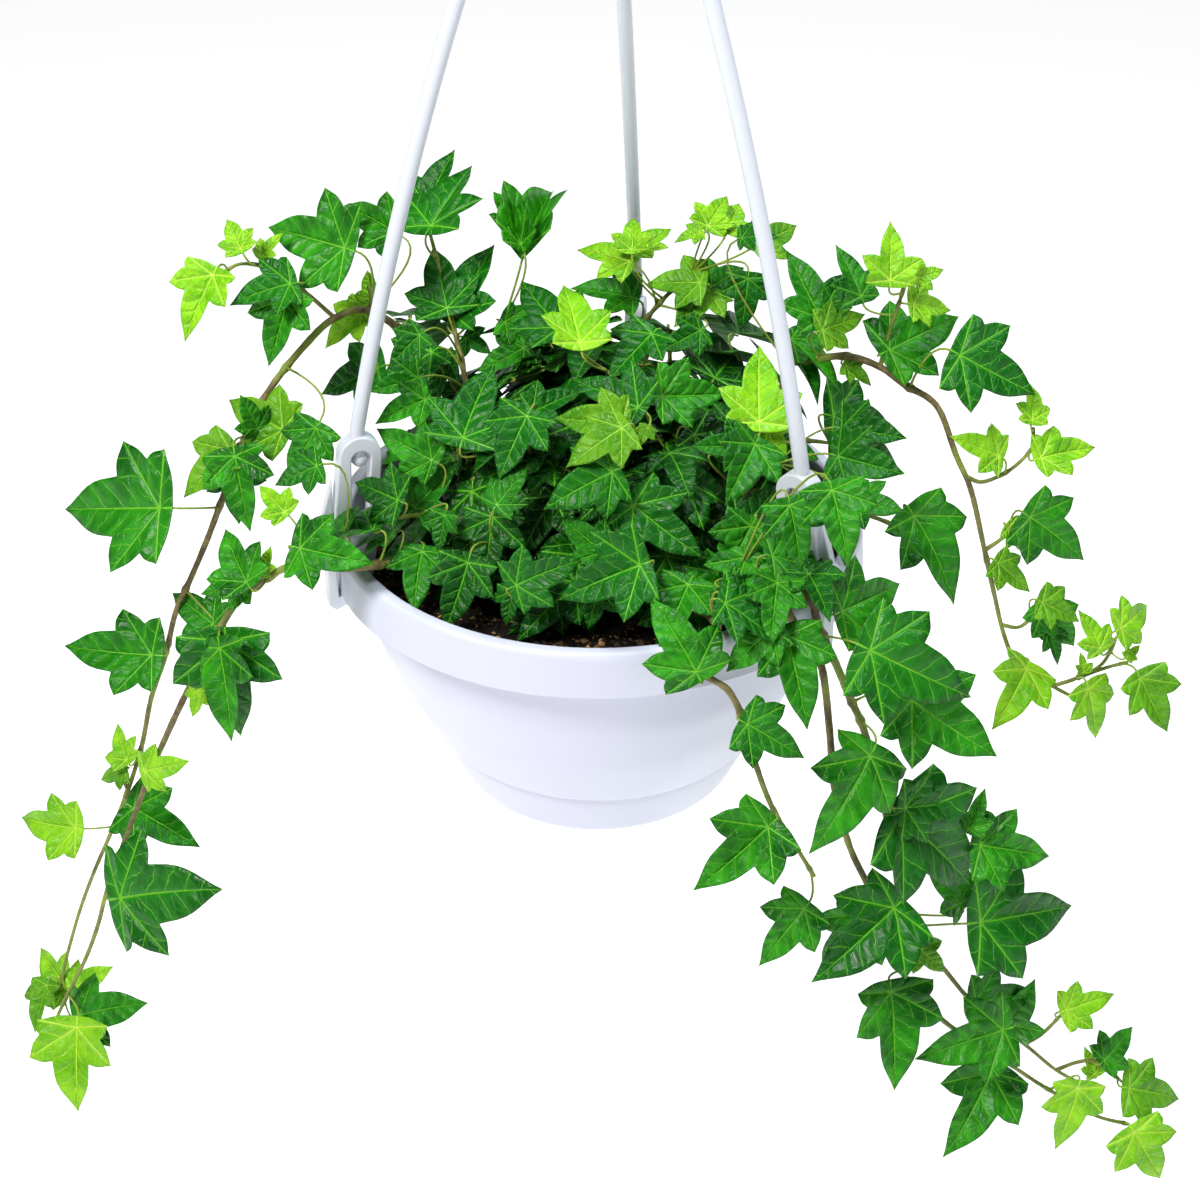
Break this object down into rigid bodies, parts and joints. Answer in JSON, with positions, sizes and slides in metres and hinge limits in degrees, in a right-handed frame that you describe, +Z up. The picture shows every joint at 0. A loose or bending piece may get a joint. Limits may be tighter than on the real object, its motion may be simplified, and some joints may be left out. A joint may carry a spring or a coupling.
{
  "type": "potted english ivy",
  "caption": "English ivy in a white hanging pot on a three-armed hanger with a hook, its leafy stems trailing over the rim",
  "frame": {"origin": "the seat inside the hook, where the hanging pot bears on what carries it", "axes": "+Z up; -Y is the side that the picture shows from above; +X is to its right, the way most of the stems trail"},
  "size_m": [0.6333, 0.2947, 0.7567],
  "materials": {
    "pot_plastic": "white injection-moulded plastic with a faint cool cast, satin",
    "hanger_plastic": "white moulded plastic, satin",
    "potting_soil": null,
    "ivy_foliage": null
  },
  "bodies": {
    "root": {"pot": "pot_plastic", "soil": "potting_soil", "rim_clip_left": "hanger_plastic", "hanger_rod_left": "hanger_plastic", "rim_clip_right": "hanger_plastic", "hanger_rod_right": "hanger_plastic", "rim_clip_back": "hanger_plastic", "hanger_rod_back": "hanger_plastic", "hanger_hook": "hanger_plastic", "ivy_crown": "ivy_foliage", "ivy_trail_left_arch": "ivy_foliage", "ivy_trail_left_front": "ivy_foliage", "ivy_trail_right_arch": "ivy_foliage", "ivy_trail_right_outer": "ivy_foliage", "ivy_trail_right_middle": "ivy_foliage", "ivy_trail_front": "ivy_foliage"}
  },
  "joints": []
}
